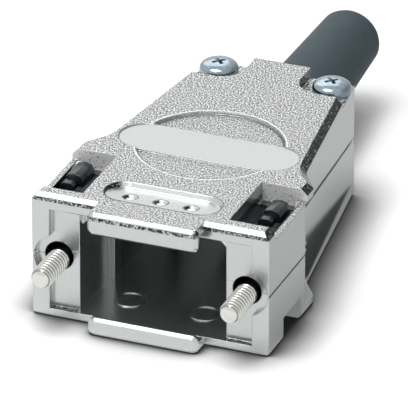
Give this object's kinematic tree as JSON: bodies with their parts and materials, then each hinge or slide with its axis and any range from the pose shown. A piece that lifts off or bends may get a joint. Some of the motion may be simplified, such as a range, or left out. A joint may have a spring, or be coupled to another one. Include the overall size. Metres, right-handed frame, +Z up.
{
  "type": "d-sub hood",
  "caption": "Metal cable hood for a nine-way D-sub connector, with captive jackscrews, ear windows and a rubber bend sleeve.",
  "frame": {"origin": "on the underside, at the middle of the ears' front edge", "axes": "+X across the hood to the right seen from the front, +Y back along the hood to the cable, +Z up"},
  "size_m": [0.0316, 0.0754, 0.0171],
  "materials": {
    "nickel": "satin nickel plating over a die casting, finely sanded on top",
    "zinc_plate": "bright blue zinc plating",
    "screw_metal": "bright nickel plating",
    "black_plastic": "moulded, semi-matt",
    "slate_rubber": "matt"
  },
  "bodies": {
    "hood": {"upper_shell": "nickel", "lower_shell": "nickel", "screw_clip_left": "black_plastic", "screw_clip_right": "black_plastic", "housing_screw_left": "zinc_plate", "housing_screw_right": "zinc_plate", "bend_sleeve": "slate_rubber"},
    "left_jackscrew": {"jackscrew_left": "screw_metal"},
    "right_jackscrew": {"jackscrew_right": "screw_metal"}
  },
  "joints": [
    {"name": "left_jackscrew_turn", "type": "hinge", "parent": "hood", "child": "left_jackscrew", "pos_m": [-0.0125, 0, 0.0079], "axis": [0, 1, 0], "continuous": true},
    {"name": "right_jackscrew_turn", "type": "hinge", "parent": "hood", "child": "right_jackscrew", "pos_m": [0.0125, 0, 0.0079], "axis": [0, 1, 0], "continuous": true}
  ]
}
